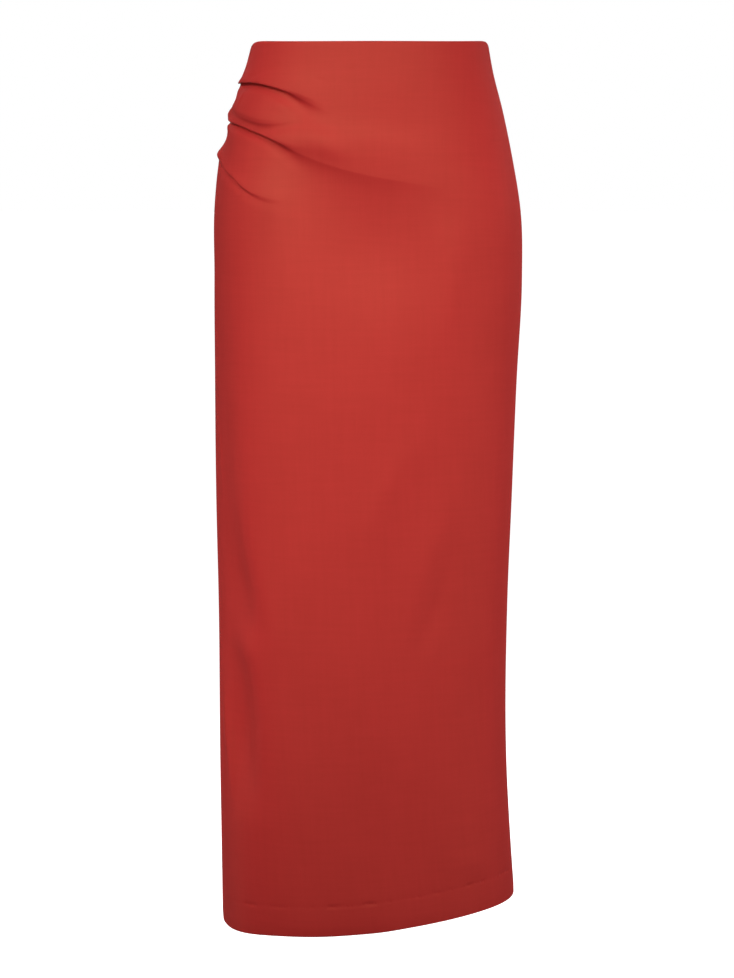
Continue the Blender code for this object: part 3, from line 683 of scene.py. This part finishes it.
def cloth_material(name, light, dark, roughness, level, sheen, hem=True):
    """Woven cloth with slubs along and across it and soft cloudy patches."""
    made, node, surface = new_material(name)
    threads = node("ShaderNodeAttribute", {}, attribute_name="threads")["Vector"]

    def maths(operation, first, second):
        return node("ShaderNodeMath", {0: first, 1: second}, operation=operation)[0]

    def noise(grain):
        scale = (grain.round, grain.down, 1.0)
        where = node("ShaderNodeMapping", {"Vector": threads, "Scale": scale})["Vector"]
        return node("ShaderNodeTexNoise", {"Vector": where, "Scale": 1.0, "Detail": grain.detail})["Fac"]

    def beside(offset, half_width):
        """1 at an offset of none, and falling off on both sides."""
        offset = maths("DIVIDE", offset, half_width)
        return maths("POWER", EULER, maths("MULTIPLY", maths("MULTIPLY", offset, offset), -1.0))

    weave = maths("ADD", noise(WARP), noise(WEFT))
    slubs = maths("ADD", noise(DOWN_SLUBS), noise(ROUND_SLUBS))
    shades = maths("ADD", maths("MULTIPLY", weave, WEAVE_SHARE), maths("MULTIPLY", slubs, SLUB_SHARE))
    mottle = maths("ADD", shades, noise(CLOUDS))
    share = node("ShaderNodeMapRange", {"Value": mottle, "From Min": DARKEST, "From Max": LIGHTEST})["Result"]
    dyed = node("ShaderNodeMix", {"A": dark, "B": light, "Factor": share}, data_type="RGBA")["Result"]
    height = maths("MULTIPLY", weave, THREAD_RELIEF)
    if hem:
        borders = node("ShaderNodeAttribute", {}, attribute_name="borders")["Vector"]
        borders = node("ShaderNodeSeparateXYZ", {"Vector": borders})
        pull = maths("MAXIMUM", maths("SUBTRACT", noise(DIMPLES), SELDOM_PULL), 0.0)
        line = beside(maths("SUBTRACT", borders["Z"], HEM_LINE), HEM_LINE_HALF)
        stitched = maths("MULTIPLY", line, maths("ADD", pull, LEAST_PULL))
        ripple = maths("SUBTRACT", noise(RIPPLES), EVEN)
        rippled = maths("MULTIPLY", beside(borders["X"], SEAM_HALF), ripple)
        height = maths("SUBTRACT", height, maths("MULTIPLY", stitched, HEM_RELIEF))
        height = maths("ADD", height, maths("MULTIPLY", rippled, SEAM_RELIEF))
    relief = node("ShaderNodeBump", {"Strength": 1.0, "Distance": 1.0, "Height": height})["Normal"]
    surface({
        "Base Color": dyed,
        "Normal": relief,
        "Roughness": roughness,
        "Specular IOR Level": level,
        "Specular Tint": WARM,
        "Sheen Weight": sheen,
        "Sheen Roughness": SHEEN_SPREAD,
    })
    return made


def plain_material(name, light, dark, roughness, scale, relief):
    """Dyed thread or enamel: two near shades and a fine grain."""
    made, node, surface = new_material(name)
    where = node("ShaderNodeTexCoord", {})["Object"]
    noise = node("ShaderNodeTexNoise", {"Vector": where, "Scale": scale, "Detail": THREAD_DETAIL})["Fac"]
    dyed = node("ShaderNodeMix", {"A": dark, "B": light, "Factor": noise}, data_type="RGBA")["Result"]
    bump = node("ShaderNodeBump", {"Strength": 1.0, "Distance": relief, "Height": noise})["Normal"]
    surface({"Base Color": dyed, "Normal": bump, "Roughness": roughness})
    return made


RED, DEEP_RED = (0.454, 0.0220, 0.0230, 1.0), (0.422, 0.0195, 0.0204, 1.0)
WARM = (1.0, 0.95, 0.45, 1.0)  # of the cloth's shine
TAPE_RED, DEEP_TAPE_RED = (0.360, 0.0240, 0.0190, 1.0), (0.290, 0.0180, 0.0150, 1.0)
ENAMEL_RED, DEEP_ENAMEL_RED = (0.360, 0.0200, 0.0160, 1.0), (0.320, 0.0170, 0.0140, 1.0)
cloth_red = cloth_material("skirt_cloth", RED, DEEP_RED, roughness=0.64, level=0.38, sheen=0.0)
allowance_red = cloth_material(
    "allowance_cloth", RED, DEEP_RED, roughness=0.60, level=0.15, sheen=0.20, hem=False
)
tape_red = cloth_material(
    "zip_tape_weave", TAPE_RED, DEEP_TAPE_RED, roughness=0.65, level=0.25, sheen=0.10, hem=False
)
thread_red = plain_material("sewing_thread", RED, TAPE_RED, roughness=0.60, scale=900.0, relief=0.00003)
coil_red = plain_material("coil_nylon", TAPE_RED, DEEP_TAPE_RED, roughness=0.40, scale=600.0, relief=0.00002)
enamel_red = plain_material(
    "enamel", ENAMEL_RED, DEEP_ENAMEL_RED, roughness=0.32, scale=500.0, relief=0.00002
)

# ---------------------------------------------------------------- the pieces


def ride(piece):
    """The piece moves with the skirt."""
    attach(piece, "skirt")
    return piece


FINE_ROWS = Spacing(row=0.0095, pleat_row=0.0024, crease_row=0.00050)
PLAIN_ROWS = Spacing(row=0.0085, pleat_row=0.0060, crease_row=0.00400)
# The number of rows where there are pleats, on a plain panel and on a plain strip.
FINE_COUNT, PLAIN_COUNT, STRIP_COUNT = 262, 150, 110

# Degrees of turn from one column to the next, and where they change.
FRONT_STEP, FOLDED_STEP, FOLDED_END = 1.75, 0.62, (248, 268)
BACK_STEP, BACK_FOLDED_STEP, BACK_FOLDED_START = 2.0, 0.8, (164, 172)
DART_STEP, DART_HALF = 0.16, 0.9


def front_density(turn):
    """Closer together where the pleats are."""
    return 1 / FRONT_STEP + (1 / FOLDED_STEP - 1 / FRONT_STEP) * (1 - rise(turn, *FOLDED_END))


def back_density(turn):
    """Closer together at the dart in each half of the back, and near the pleats."""
    darts = sum(bell(turn, at, DART_HALF) for at in DART_TURNS) / DART_STEP
    return 1 / BACK_STEP + darts + (1 / BACK_FOLDED_STEP - 1 / BACK_STEP) * rise(turn, *BACK_FOLDED_START)


FRONT = PanelPlan(
    "front_cloth", RIGHT_SEAM, WHOLE_TURN, sewn, sewn,
    density=front_density, columns=176, rows=FINE_COUNT, spacing=FINE_ROWS,
)
BACK_LEFT = PanelPlan(
    "back_left_cloth", 0.0, CENTRE_BACK, sewn, centre_back_parting,
    density=back_density, columns=74, rows=PLAIN_COUNT, spacing=PLAIN_ROWS,
)
BACK_RIGHT = PanelPlan(
    "back_right_cloth", CENTRE_BACK, RIGHT_SEAM, centre_back_parting, sewn,
    density=back_density, columns=90, rows=FINE_COUNT, spacing=FINE_ROWS,
)
front = panel(FRONT, cloth_red)
back_left = panel(BACK_LEFT, cloth_red)
back_right = panel(BACK_RIGHT, cloth_red)
for piece, node_name in ((front, "front"), (back_left, "back_left"), (back_right, "back_right")):
    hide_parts(node_name)
    ride(piece)

# An allowance's side is 1 where it runs towards higher turns from its seam.
Allowance = namedtuple("Allowance", "name seam side gap rows spacing")
ALLOWANCES = [
    Allowance("front_right", RIGHT_SEAM, 1, sewn, FINE_COUNT, FINE_ROWS),
    Allowance("front_left", WHOLE_TURN, -1, sewn, STRIP_COUNT, PLAIN_ROWS),
    Allowance("back_left_side", 0.0, 1, sewn, STRIP_COUNT, PLAIN_ROWS),
    Allowance("back_left_centre", CENTRE_BACK, -1, centre_back_parting, STRIP_COUNT, PLAIN_ROWS),
    Allowance("back_right_centre", CENTRE_BACK, 1, centre_back_parting, STRIP_COUNT, PLAIN_ROWS),
    Allowance("back_right_side", RIGHT_SEAM, -1, sewn, FINE_COUNT, FINE_ROWS),
]
SLIT_SPREAD = 0.03  # over which the centre-back allowances widen into the slit's
TOP_CLEARANCE, HEM_CLEARANCE = 0.0005, 0.0010  # from an allowance's ends to the turned edges


def sew_allowance(plan):
    """An allowance pressed against its panel, with its free edge overlocked."""

    def near(downs):
        return plan.seam + plan.side * plan.gap(downs) / degree(plan.seam + 0 * downs, downs)

    def far(downs):
        extra = (SLIT_ALLOWANCE - SEAM_ALLOWANCE) * rise(downs, SLIT_TOP - SLIT_SPREAD, SLIT_TOP)
        width = SEAM_ALLOWANCE + (extra if plan.seam == CENTRE_BACK else 0)
        return near(downs) + plan.side * width / degree(plan.seam + 0 * downs, downs)

    top = waist_edge(plan.seam) + TOP_ALLOWANCE + TOP_CLEARANCE
    foot = hem_edge(plan.seam) - HEM_ALLOWANCE - HEM_CLEARANCE
    downs = strip_rows(plan.seam + plan.side, top, foot, plan.rows, plan.spacing)
    made = strip(plan.name + "_allowance", downs, near, far, CLOTH + LAYER_GAP, INNER_FACE, allowance_red)
    edging = overlock(plan.name + "_overlock", far, plan.side, top, foot, thread_red)
    ride(made)
    ride(edging)
    return made


allowances = {plan.name: sew_allowance(plan) for plan in ALLOWANCES}

STITCH_RUNS = ((1.0, 89.0), (91.0, 179.0), (181.0, 359.0))  # clear of the seams, in degrees
STITCH_TURN = 1.3  # degrees from one stitch to the next
STITCH_OVER, STITCH_UNDER = 0.0012, 0.0016  # how far a stitch reaches over the turned-up edge and under it


def blind_stitches():
    """Small slanting stitches that catch the top of the turned-up hem, inside."""
    runs = []
    for start, stop in STITCH_RUNS:
        turns = np.arange(start, stop, STITCH_TURN)
        lift = by_turns(len(turns), STITCH_OVER, -STITCH_UNDER)
        depth = np.where(lift > 0, CLOTH, TURNED) + THREAD_RADIUS
        runs.append(place_on(turns, hem_edge(turns) - HEM_ALLOWANCE - lift, depth))
    return runs


ride(thread("hem_stitches", blind_stitches(), THREAD_RADIUS, thread_red))

# How many stitches the bar has, its half width, how far above the slit it starts, and each stitch's step.
TACK_STITCHES, TACK_HALF, TACK_START, TACK_STEP = 15, 0.0030, 0.0015, 0.00022
TACK_LIFT = 0.6  # in thread radii


def slit_tack():
    """A short bar of close stitches across the top of the slit."""
    half = TACK_HALF / degree(np.array(CENTRE_BACK), SLIT_TOP)
    turns = CENTRE_BACK + by_turns(TACK_STITCHES, -half, half)
    downs = SLIT_TOP - TACK_START + TACK_STEP * np.arange(TACK_STITCHES)
    return [place_on(turns, downs, -THREAD_RADIUS * TACK_LIFT + 0 * downs)]


ride(thread("slit_tack", slit_tack(), THREAD_RADIUS, thread_red))

# ---- the zip

TAPE_START = (COIL_HALF + COIL_CLEARANCE) / COIL_DEGREE


def zip_tape(name, side):
    """One of the zip's two tapes, from beside the coil to its outer edge."""

    def near(downs):
        return CENTRE_BACK + side * TAPE_START + 0 * downs

    def far(downs):
        return CENTRE_BACK + side * TAPE_TURN + 0 * downs

    downs = np.linspace(ZIP_TOP, ZIP_BOTTOM, TAPE_STEPS + 1)
    made = strip(name + "_woven", downs, near, far, TAPE_OUTER, TAPE_INNER, tape_red)
    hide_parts(name)
    return ride(made)


tapes = [zip_tape("zip_tape_left", -1), zip_tape("zip_tape_right", 1)]

COIL_PITCH = 0.0012
COIL_STEPS = 8  # points in one turn of the coil
COIL_WIRE = 0.00030
COIL_END = 0.001  # the coil is this much shorter than the zip at each end
COIL_MIDDLE, COIL_ACROSS = 0.00055, 0.00085  # one coil's middle, from the centre back, and its half width
COIL_DEEPER, COIL_DEEP = 0.0001, 0.00062  # its middle, from the tapes' inner face, and its half depth


def coil_run(side):
    """One of the zip's two coils, in flattened turns that reach a little past the middle."""
    count = int((ZIP_BOTTOM - COIL_TOP - 2 * COIL_END) / COIL_PITCH) * COIL_STEPS
    step = np.arange(count)
    angle = 2 * math.pi * step / COIL_STEPS
    half_turn = 0.5 if side > 0 else 0.0
    downs = COIL_TOP + COIL_END + COIL_PITCH * (step / COIL_STEPS + half_turn)
    across = side * COIL_MIDDLE + COIL_ACROSS * np.cos(angle)
    depth = TAPE_INNER + COIL_DEEPER + COIL_DEEP * np.sin(angle)
    return place_on(CENTRE_BACK + across / COIL_DEGREE, downs, depth)


coil = thread("zip_coil_turns", [coil_run(-1), coil_run(1)], COIL_WIRE, coil_red)
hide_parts("zip_coil")
ride(coil)
for name in ("zip_slider", "zip_pull"):
    for held in bpy.data.objects[name].material_slots:
        held.material = enamel_red

# ---------------------------------------------------------------- stage, light and camera

# Each light faces the skirt's axis at the height aim. spread is in degrees: the front lights' is narrow,
# so their light falls off towards the hem. shine is whether the light shows in the cloth's shine.
Light = namedtuple("Light", "name place aim size spread power shine", defaults=(False,))
LIGHTS = [
    Light("front_left", (-1.2, -2.6, 1.4), -0.42, 0.7, 25, 1.77, True),
    Light("front_right", (1.2, -2.6, 1.4), -0.42, 0.7, 25, 1.24, True),
    Light("left", (-2.2, -1.6, 1.2), 0.10, 1.6, 32, 1.50),
    Light("waist_left", (-2.4, -1.2, 1.2), 0.09, 0.15, 8, 0.065),
    Light("low_left", (-2.6, -1.2, -0.3), -0.30, 1.6, 62, 0.2),
    Light("low_right", (2.6, -1.2, -0.3), -0.30, 1.6, 62, 2.3),
    Light("floor_left", (-2.5, -0.2, -1.00), -0.93, 0.9, 26, 0.92),
    Light("floor_right", (2.2, -0.9, -0.95), -0.85, 1.0, 34, 0.25),
    Light("floor_front", (-0.3, -2.6, -0.90), -1.00, 0.3, 12, 0.025),
    Light("left_behind", (-2.6, 0.6, 0.1), -0.20, 1.6, 62, 0.8),
    Light("right_behind", (2.6, 0.8, 0.2), -0.30, 1.6, 62, 4.9),
    Light("behind_left", (-1.3, 2.6, 1.0), -0.35, 1.6, 62, 5.0),
    Light("behind_right", (1.2, 2.8, 1.2), -0.35, 1.6, 62, 6.0),
]


def area_light(light):
    """A square light that faces the skirt."""
    data = bpy.data.lights.new(light.name, "AREA")
    data.size = light.size
    data.energy = light.power
    data.spread = math.radians(light.spread)
    made = add(light.name, data)
    made.location = light.place
    made.visible_glossy = light.shine
    towards = Vector((0, 0, light.aim)) - Vector(light.place)
    made.rotation_euler = towards.to_track_quat("-Z", "Y").to_euler()


for light in LIGHTS:
    area_light(light)

WHITE = (1.0, 1.0, 1.0, 1.0)
SKY_LIGHT, SKY_SEEN = 0.10, 1.0  # how bright the world is to the skirt, and to the eye


def studio_world():
    """A dim white sky that looks plain white behind the skirt."""
    world = bpy.data.worlds.new("studio")
    world.use_nodes = True
    sky = world.node_tree
    lit = sky.nodes["Background"]
    seen = sky.nodes.new("ShaderNodeBackground")
    for background, strength in ((lit, SKY_LIGHT), (seen, SKY_SEEN)):
        background.inputs["Color"].default_value = WHITE
        background.inputs["Strength"].default_value = strength
    path = sky.nodes.new("ShaderNodeLightPath")
    either = sky.nodes.new("ShaderNodeMixShader")
    sky.links.new(path.outputs["Is Camera Ray"], either.inputs[0])
    sky.links.new(lit.outputs[0], either.inputs[1])
    sky.links.new(seen.outputs[0], either.inputs[2])
    sky.links.new(either.outputs[0], sky.nodes["World Output"].inputs["Surface"])
    return world


bpy.context.scene.world = studio_world()

FLOOR_DOWN, FLOOR_SIZE = 1.06, 60
bpy.ops.mesh.primitive_plane_add(size=FLOOR_SIZE, location=(0, 0, -FLOOR_DOWN))
floor = bpy.context.object
floor.name = "floor"
pale, _, pale_surface = new_material("pale_floor")
pale_surface({
    "Base Color": (0.8, 0.8, 0.8, 1.0),
    "Roughness": 0.9,
    "Specular IOR Level": 0.0,
    "Emission Color": WHITE,
    "Emission Strength": 1.0,
})
floor.data.materials.append(pale)
floor.visible_diffuse = False
floor.visible_glossy = False

CAMERA_PLACE, CAMERA_TILT = (-0.0022, -3.0, -0.09), 7.36  # it looks down by the tilt, in degrees
LENS, SENSOR = 102.63, 36.0  # millimetres
camera_data = bpy.data.cameras.new("camera")
camera_data.lens = LENS
camera_data.sensor_width = SENSOR
camera = add("camera", camera_data)
camera.location = CAMERA_PLACE
camera.rotation_euler = (math.radians(90 - CAMERA_TILT), 0, 0)
bpy.context.scene.camera = camera
bpy.context.scene.view_settings.view_transform = "Standard"
